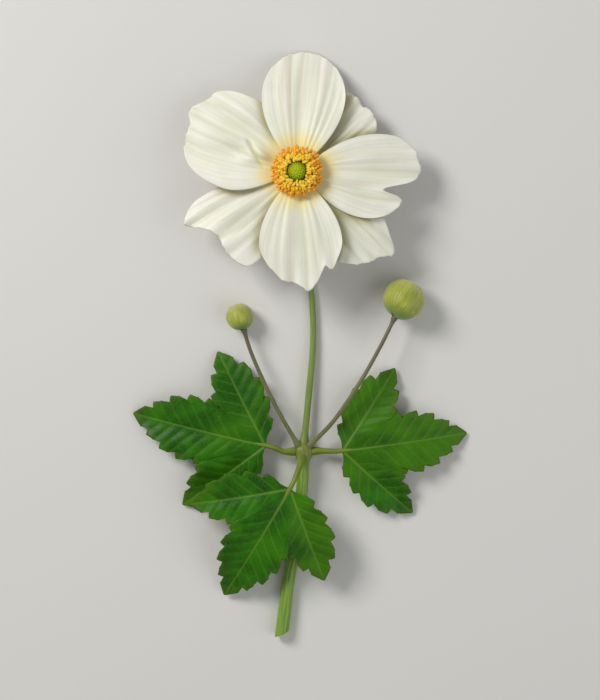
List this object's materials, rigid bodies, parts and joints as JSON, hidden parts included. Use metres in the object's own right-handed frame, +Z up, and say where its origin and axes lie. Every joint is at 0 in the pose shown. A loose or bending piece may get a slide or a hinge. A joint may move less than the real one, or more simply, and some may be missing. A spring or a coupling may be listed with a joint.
{
  "type": "japanese anemone flower",
  "caption": "Open white anemone flower with an orange stamen ring, picked with its stem, a whorl of toothed leaves and round buds, lying face up.",
  "frame": {"origin": "on the table surface, under the middle of the bounding box of the lying flower", "axes": "+Y along the stem from its cut end to the flower, +Z up out of the open flower's face, +X to the right seen from above with the flower at the top"},
  "size_m": [0.0996, 0.176, 0.0199],
  "materials": {
    "tepal_white": "soft satin",
    "anther_orange": "powdery",
    "carpel_green": "finely bumpy",
    "stem_skin": "satin, finely ribbed",
    "stalk_skin": "satin, finely hairy",
    "leaf_green": "satin, net veined",
    "bud_silk": "silky"
  },
  "bodies": {
    "root": {"stem": "stem_skin", "flower_stalk": "stalk_skin", "tepal_1": "tepal_white", "tepal_2": "tepal_white", "tepal_3": "tepal_white", "tepal_4": "tepal_white", "tepal_5": "tepal_white", "tepal_6": "tepal_white", "tepal_7": "tepal_white", "stamens": "anther_orange", "carpels": "carpel_green", "leaf_left": "leaf_green", "leaf_right": "leaf_green", "leaf_upper": "leaf_green", "bud_stalk_long": "stalk_skin", "bud_large": "bud_silk", "bud_stalk_short": "stalk_skin", "bud_small": "bud_silk"}
  },
  "joints": []
}
